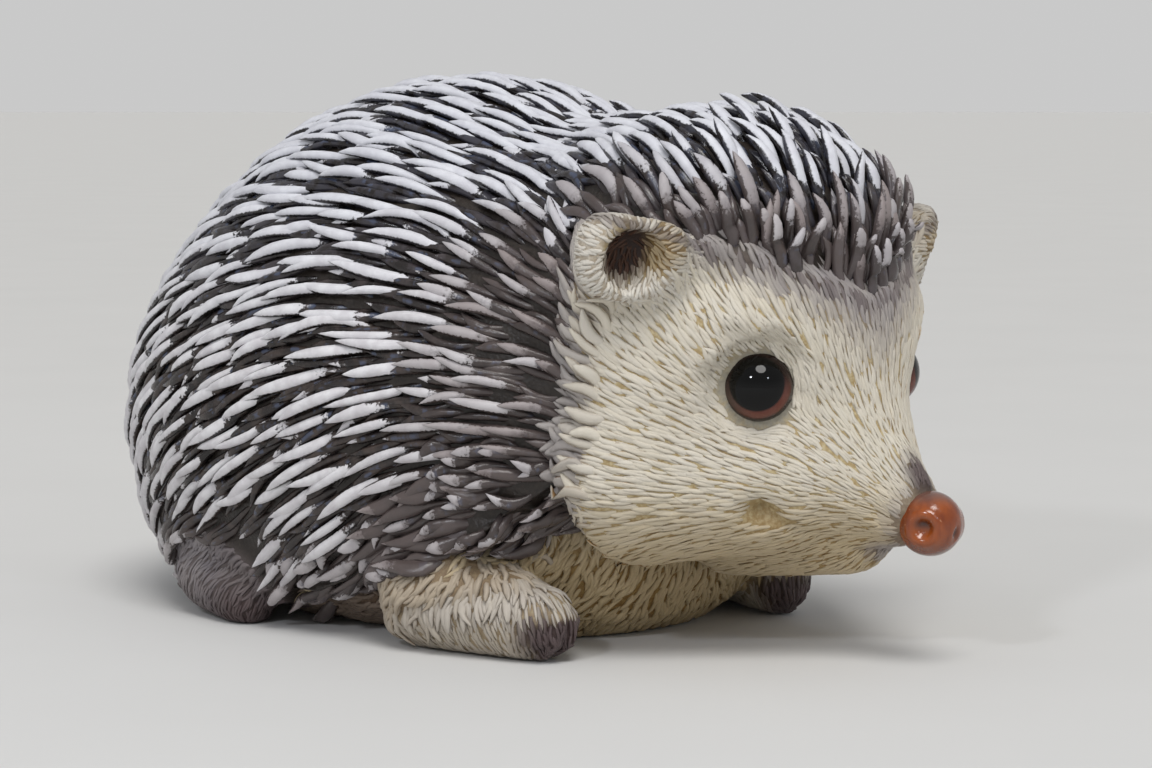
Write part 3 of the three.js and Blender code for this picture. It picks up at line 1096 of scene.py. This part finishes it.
def quill_looks(p, shade):
    """The numbers that paint each quill, by where it grows.

    start is where its white begins, dusk how far it is greyed, slim how narrow the white is, and the sky
    sheen how far its dark and its white are tinted blue, a painted reflection of the sky that is strongest on
    the crown and the top.
    """
    crown = on_crown(p)
    near_face = ease(-12, -28, p[:, 1]) * ease(64, 52, p[:, 2])
    front = ease(9, 1, above_fringe(p)) * (p[:, 1] < -34)
    hem = 1 - ease(1, 12, above_hem(p))
    low = ease(45, 15, p[:, 2])
    # by_foot greys the quills by the hind feet and starts their white later, as painted shade
    by_foot = ease(9, 1, off_hind_feet(p))
    rear = ease(20, 50, p[:, 1])
    top = ease(52, 70, p[:, 2]) * (1 - crown)
    some, more, less, grey, spread = (rng.random(len(p)) for _ in range(5))
    start = 0.12 - 0.11 * top + 0.3 * some**1.6 + 0.35 * near_face * more + 0.12 * low + 0.3 * hem
    start = start + (0.45 + 0.6 * less) * shade + 0.12 * front + 0.25 * by_foot
    dusk = hem + near_face * (0.3 + 0.7 * grey) + 0.7 * front + 0.15 * low
    dusk = dusk + 0.1 * shade + 0.5 * by_foot
    slim = 0.15 + 0.35 * crown + 0.35 * rear - 0.2 * top + 0.4 * (spread - 0.5)
    # painted reflection of the sky: a blue tint on the crown and higher up
    painted_sky_sheen = 0.6 * np.maximum(crown, ease(40, 70, p[:, 2]))
    dusk, slim, painted_sky_sheen = np.clip([dusk, slim, painted_sky_sheen], 0, 1)
    return {"start": start, "dusk": dusk, "slim": slim, "painted_sky_sheen": painted_sky_sheen}


def facing_out(places, normals, part):
    """Drops the places under the jaw, where the body faces forward and no quill could lie back."""
    out = (normals[:, 1] > -0.72) | (places[:, 2] > 45) | ~among(part, "trunk")
    return places[out], normals[out], part[out]


def on_quilled(p, part):
    return (into_coat(p) > 0.2) & (off_hind_feet(p) > 1.5) & among(part, *BACK)


def make_quills():
    """The big quills and, between their roots, a filling of small ones."""
    places, normals, part = facing_out(*scattered(on_quilled, 45000))
    lie = spine_lie(places)
    crown = on_crown(places)
    neck = ease(-12, -22, places[:, 1]) * ease(66, 56, places[:, 2]) * (1 - crown)
    kept = thinned(places, normals, lie, 8.2 - 2.3 * crown - 2.4 * neck, 1.74 + 0.22 * crown - 0.1 * neck)
    kept = kept[~on_flaps(places[kept], part[kept])]
    every = np.ones(len(places))
    taken = places[kept], normals[kept], lie[kept], 0.7
    filling = thinned(places, normals, lie, 4.0 * every, 1.3 * every, taken)
    for layer, chosen, small, stations in (("quills", kept, 0.0, 10), ("underquills", filling, 1.0, 7)):
        p, n, c, k = places[chosen], normals[chosen], crown[chosen], neck[chosen]
        count = len(chosen)
        near_edge = 1 - ease(0, 6, into_coat(p))
        front = ease(5, 0, above_fringe(p)) * (p[:, 1] < -34)
        length = (15.2 - 5.0 * c - 3.0 * k - 4.0 * small) * rng.uniform(0.78, 1.2, count)
        length = length * (1 - 0.25 * near_edge)
        width = (1.85 + 0.3 * c - 0.15 * k - 0.25 * small) * rng.uniform(0.8, 1.2, count)
        rise = (1.7 - 0.2 * k - 0.65 * small) * rng.uniform(0.85, 1.15, count)
        lift = 0.15 + (0.9 + 2.2 * c) * rng.random(count) ** 2 * (1 - small) + 1.0 * front
        sizes = length, width, rise, lift, np.full(count, 0.15)
        looks = quill_looks(p, small)
        for number, name in enumerate(REGIONS):
            some = region(p) == number
            here = {key: value[some] for key, value in looks.items()}
            some_sizes = [value[some] for value in sizes]
            quills(f"{layer}_{name}", (p[some], n[some]), some_sizes, here, stations=stations)


EDGE_SPREAD = (0.25, 0.2, 0.15, 0.45)  # how far length, width, rise and lift vary
EDGE_LOOKS = {"start": 0.3, "dusk": 0.25, "slim": 0.3, "painted_sky_sheen": 0.4}  # how far each look varies


def edge_quills(name, wanted, tries, spacing, sizes, turn, looks, shape):
    """A few rows of special quills along an edge of the coat.

    spacing is (along, across), sizes are (length, width, rise, lift), and looks are the least start, dusk,
    slim and sky sheen, the last a painted blue reflection.
    """
    places, normals, _ = facing_out(*scattered(wanted, tries))
    every = np.ones(len(places))
    kept = thinned(places, normals, spine_lie(places), spacing[0] * every, spacing[1] * every)
    count = len(kept)
    sizes = [size * rng.uniform(1 - far, 1 + far, count) for size, far in zip(sizes, EDGE_SPREAD)]
    looks = {
        key: np.clip(least + far * rng.random(count), 0, 1)
        for (key, far), least in zip(EDGE_LOOKS.items(), looks)
    }
    quills("quills_" + name, (places[kept], normals[kept]), [*sizes, np.full(count, turn)], looks, shape)


def on_fringe(p, part):
    return (np.abs(above_fringe(p) - 0.6) < 1.5) & (p[..., 1] < -38) & (np.abs(p[..., 0]) < 24.5)


def on_hem(p, part):
    by_feet = np.minimum(*[span(p, centre_mm(name)) for name in HINDLEGS]) < 15
    return (np.abs(above_hem(p) - 2.6) < 1.6) & (p[..., 1] > -30) & ~by_feet


def on_flaps(p, part):
    """The broad grey flaps behind the jaw, over the shoulder."""
    x, y, z = xyz(p)
    return (into_coat(p) > 0.3) & (z < 25) & (y > -34) & (y < -8) & (np.abs(x) > 22) & among(part, "trunk")


def behind_jaw(p, part):
    """The hollow between the jaw and the shoulder, which only short quills can follow."""
    x, y, z = xyz(p)
    hollow = (z > 15) & (z < 29) & (y > -32) & (y < -18) & (np.abs(x) > 28)
    return (into_coat(p) > 0.3) & hollow & among(part, "trunk")


def over_hem(p, part):
    """The band above the hem, which fills up with short quills."""
    inside = (above_hem(p) > 0.5) & (above_hem(p) < 9) & (into_coat(p) > 0.3) & (p[..., 1] > -12)
    return inside & (off_hind_feet(p) > 0.8) & among(part, *BACK)


make_quills()
for row in (
    ("low", over_hem, 24000, (4.0, 2.0), (6.4, 2.0, 1.5, 0.6), 0.15, (0.3, 0.5, 0.2, 0.0), QUILL_SHAPE),
    ("jaw", behind_jaw, 9000, (3.2, 1.7), (6.2, 2.1, 1.5, 0.7), 0.15, (0.5, 0.5, 0.2, 0.0), QUILL_SHAPE),
    ("fringe", on_fringe, 9000, (3.6, 2.5), (6.6, 2.2, 1.9, 2.8), 0.3, (0.45, 0.5, 0.0, 0.0), POST_SHAPE),
    ("hem", on_hem, 9000, (5.5, 2.2), (9.0, 2.5, 1.4, 0.8), 0.2, (0.55, 0.9, 0.3, 0.0), LEAF_SHAPE),
    ("shoulder", on_flaps, 9000, (5.6, 1.9), (10.5, 2.7, 1.4, 0.8), 0.1, (0.62, 0.85, 0.3, 0.0), LEAF_SHAPE),
):
    edge_quills(*row)

# ---- fur

LOW_RING = [(1, -0.2), (0.45, 0.8), (-0.45, 0.8), (-1, -0.2), (0, -0.6)]
STROKE_SHAPE = [
    (0.00, 0.60, -0.60, 0.40),
    (0.22, 0.92, -0.05, 0.55),
    (0.50, 1.00, 0.16, 0.62),
    (0.76, 0.86, 0.20, 0.58),
    (1.00, 0.22, 0.06, 0.14),
]
RUFF_SHAPE = [
    (0.00, 0.80, -0.60, 0.45),
    (0.30, 1.00, 0.05, 0.50),
    (0.60, 1.00, 0.35, 0.50),
    (0.86, 0.84, 0.50, 0.44),
    (1.00, 0.42, 0.50, 0.24),
]
STROKE_STATIONS, STROKE_ROLL = 6, 0.2
FACE_BACK = -24  # the face's fur ends here, and the chest's begins


def strokes(
    name, wanted, tries, spacing, size, loose, lift=0.0, shape=STROKE_SHAPE, slot="fur_paint", scale=None
):
    """A piece of fur: low closed tufts laid along the lie of the fur where wanted says so.

    spacing is (along, across), size is (length, width, rise), loose is (turn, curl), and scale, where it is
    given, is how much smaller or larger all of them are at each place.
    """
    places, normals, part = scattered(wanted, tries)
    grown = scale(places) if scale else np.ones(len(places))
    kept = thinned(places, normals, fur_lie(places, part), spacing[0] * grown, spacing[1] * grown)
    places, normals, part, grown = places[kept], normals[kept], part[kept], grown[kept]
    count = len(kept)
    long = size[0] * rng.uniform(0.7, 1.35, count) * grown
    turn = rng.normal(0, loose[0], count)
    path = combed(places, normals, lambda p: fur_lie(p, part), long, turn, STROKE_STATIONS)
    wide = size[1] * rng.uniform(0.75, 1.3, count) * grown
    high = size[2] * rng.uniform(0.7, 1.3, count) * grown
    clear = ~bare(path[0]).any(1)
    count = clear.sum()
    curl, roll = rng.normal(0, loose[1], count), rng.normal(0, STROKE_ROLL, count)
    sizes = wide[clear], high[clear], curl, lift * rng.uniform(0.5, 1.5, count), roll
    path = [column[clear] for column in path]
    coat_piece("fur_" + name, path, sizes, shape, LOW_RING, FUR, slot, seed=rng.random(count))


def bare(p):
    """Where no fur grows: on the eyes and their lids, on the nose and at the corners of the mouth."""
    found = span(p, NOSE) < NOSE_RADIUS + 0.05
    found |= nearer_span(p, EYE) < EYE_RADIUS + 0.1
    found |= nearer_span(p, EYE_BARE) < EYE_RADIUS + 0.3
    return found | (nearer_span(p, MOUTH_PIT) < 1.85) | (nearer_span(p, MOUTH_PIT_FRONT) < 1.1)


def on_face(p, part):
    return (into_coat(p) < 0.6) & among(part, "head", "trunk") & (p[..., 1] < FACE_BACK) & ~bare(p)


def on_chest(p, part):
    lower = among(part, "belly", "tail") | (among(part, "head", "trunk") & (p[..., 1] >= FACE_BACK))
    shoulder = among(part, *FORELEGS) & (above_paw(p) > 0)
    unquilled = (into_coat(p) < 0.6) | ~among(part, *BACK)
    return unquilled & (lower | shoulder) & (p[..., 2] > 0.6) & (off_hind_feet(p) > 0)


def on_legs(p, part):
    paw = among(part, *FORELEGS) & (above_paw(p) < 0.6)
    return (paw | among(part, *HINDLEGS) | (off_hind_feet(p) < 0)) & (p[..., 2] > 0.8)


def on_shoulder_edge(p, part):
    """The row of tufts that hangs over the top of each fore paw."""
    return among(part, *FORELEGS) & (np.abs(above_paw(p) - 1.3) < 1.0) & (p[..., 1] < -4)


def on_ears(p, part):
    return among(part, *EARS)


def on_ruff(p, part):
    z, behind = p[..., 2], behind_ruff(p)
    return (behind > -4.5) & (behind < 0.2) & (z < 50) & (z > 23) & among(part, "head", "trunk")


def on_nose_edge(p, part):
    """A ring round the nose's ball, for the finest fur."""
    off = span(p, NOSE) - NOSE_RADIUS
    return (off > 0.05) & (off < 2.2)


def on_eye_edge(p, part):
    """A ring round the lids, for fine fur."""
    return (nearer_span(p, EYE) - EYE_RADIUS < 3.4) & ~bare(p)


def face_scale(p):
    """Fur grows from fine by the nose to coarse by the ruff."""
    return np.interp(span(p, NOSE), [6, 22, 50], [0.62, 0.9, 1.2])


def face_strokes(level, low, high, side, sign):
    """One quarter of the face's fur, between two heights on one side."""

    def on_quarter(p, part):
        return on_face(p, part) & (p[..., 0] * sign >= 0) & (p[..., 2] >= low) & (p[..., 2] < high)

    name = f"face_{level}_{side}"
    strokes(name, on_quarter, 34000, (1.9, 0.39), (3.9, 0.8, 0.31), (0.1, 0.3), scale=face_scale)


for half, half_sign in SIDES.items():
    face_strokes("low", 0, 34, half, half_sign)
    face_strokes("high", 34, 90, half, half_sign)
strokes("ruff", on_ruff, 9000, (2.4, 1.1), (5.4, 1.8, 1.0), (0.26, 0.45), 1.0, RUFF_SHAPE)
strokes("nose", on_nose_edge, 6000, (1.0, 0.3), (2.0, 0.5, 0.26), (0.12, 0.3))
strokes("eyes", on_eye_edge, 9000, (1.1, 0.34), (2.3, 0.62, 0.32), (0.12, 0.3))
strokes("chest", on_chest, 60000, (1.9, 0.52), (4.0, 0.98, 0.62), (0.3, 0.6))
strokes("shoulders", on_shoulder_edge, 6000, (2.0, 0.7), (4.4, 1.0, 0.7), (0.2, 0.5), 0.25, RUFF_SHAPE)
strokes("legs", on_legs, 30000, (1.7, 0.41), (3.1, 0.62, 0.34), (0.16, 0.35), slot="paw_paint")
strokes("ears", on_ears, 30000, (1.3, 0.33), (2.3, 0.6, 0.26), (0.14, 0.3))

# ---- stage

CAMERA_PLACE = np.array([-341.7, -313.8, 78.0])
CAMERA_AZIMUTH, CAMERA_PITCH = math.radians(-48.0), math.radians(5.3)
FOCAL_PIXELS, IMAGE_WIDTH, SENSOR = 3060.0, 1152.0, 36.0
FLOOR_HALF = 20000.0  # half the side of the floor
SUN_AHEAD, SUN_ANGLE, SUN_STRENGTH = (0.35, 0.45, -1), math.radians(28), 1.6
LAMP_AIM = (0, -40, 40)
SKY_BAND = {"From Min": 0.05, "From Max": 0.3, "To Min": 0.74, "To Max": 0.55}  # height to brightness


def placed(name, data, place, ahead):
    obj = bpy.data.objects.new(name, data)
    bpy.context.scene.collection.objects.link(obj)
    obj.location = Vector(place) * MM
    obj.rotation_mode = "QUATERNION"
    obj.rotation_quaternion = ahead.to_track_quat("-Z", "Y")
    return obj


def add_camera():
    data = bpy.data.cameras.new("camera")
    data.sensor_fit = "HORIZONTAL"
    data.sensor_width = SENSOR
    data.lens = FOCAL_PIXELS / IMAGE_WIDTH * SENSOR
    data.clip_start, data.clip_end = 0.01, 20
    ahead = Vector((
        -math.sin(CAMERA_AZIMUTH) * math.cos(CAMERA_PITCH),
        math.cos(CAMERA_AZIMUTH) * math.cos(CAMERA_PITCH),
        -math.sin(CAMERA_PITCH),
    ))
    bpy.context.scene.camera = placed("camera", data, CAMERA_PLACE, ahead)


def add_lamp(name, place, size, watts, colour):
    data = bpy.data.lights.new(name, "AREA")
    data.shape, data.size, data.size_y = "RECTANGLE", size[0] * MM, size[1] * MM
    data.energy = watts
    data.color = linear(colour)[:3]
    placed(name, data, place, Vector(LAMP_AIM) - Vector(place))


def add_lights():
    sun = bpy.data.lights.new("sun", "SUN")
    sun.energy, sun.angle, sun.color = SUN_STRENGTH, SUN_ANGLE, linear("#fffdfa")[:3]
    placed("sun", sun, (0, 0, 0), Vector(SUN_AHEAD))
    add_lamp("window", (-620, -180, 420), (66, 50), 0.9, "#f4f7ff")
    add_lamp("lamp", (-170, -560, 330), (40, 40), 0.2, "#e9f1ff")


def add_floor():
    corners = np.array([[-1, -1, 0], [1, -1, 0], [1, 1, 0], [-1, 1, 0]]) * FLOOR_HALF
    floor = from_arrays("floor", corners, [np.array([[0, 1, 2, 3]])], smooth=False)
    p = Paint("floor_paint", Specular_IOR_Level=0.2)
    floor.data.materials.append(p.finish(p.mix(p.noise(60.0), "#d3d3d2", "#d8d8d7"), 0.8))


def add_sky():
    """A grey sky, brighter towards the horizon."""
    world = bpy.data.worlds.new("world")
    world.use_nodes = True
    nodes, links = world.node_tree.nodes, world.node_tree.links
    split, band = nodes.new("ShaderNodeSeparateXYZ"), nodes.new("ShaderNodeMapRange")
    links.new(nodes.new("ShaderNodeTexCoord").outputs["Generated"], split.inputs[0])
    links.new(split.outputs["Z"], band.inputs["Value"])
    for socket, value in SKY_BAND.items():
        band.inputs[socket].default_value = value
    links.new(band.outputs[0], nodes["Background"].inputs["Strength"])
    nodes["Background"].inputs["Color"].default_value = linear("#e6e6e6")
    bpy.context.scene.world = world
    bpy.context.scene.view_settings.view_transform = "Standard"


add_camera()
add_floor()
add_sky()
add_lights()
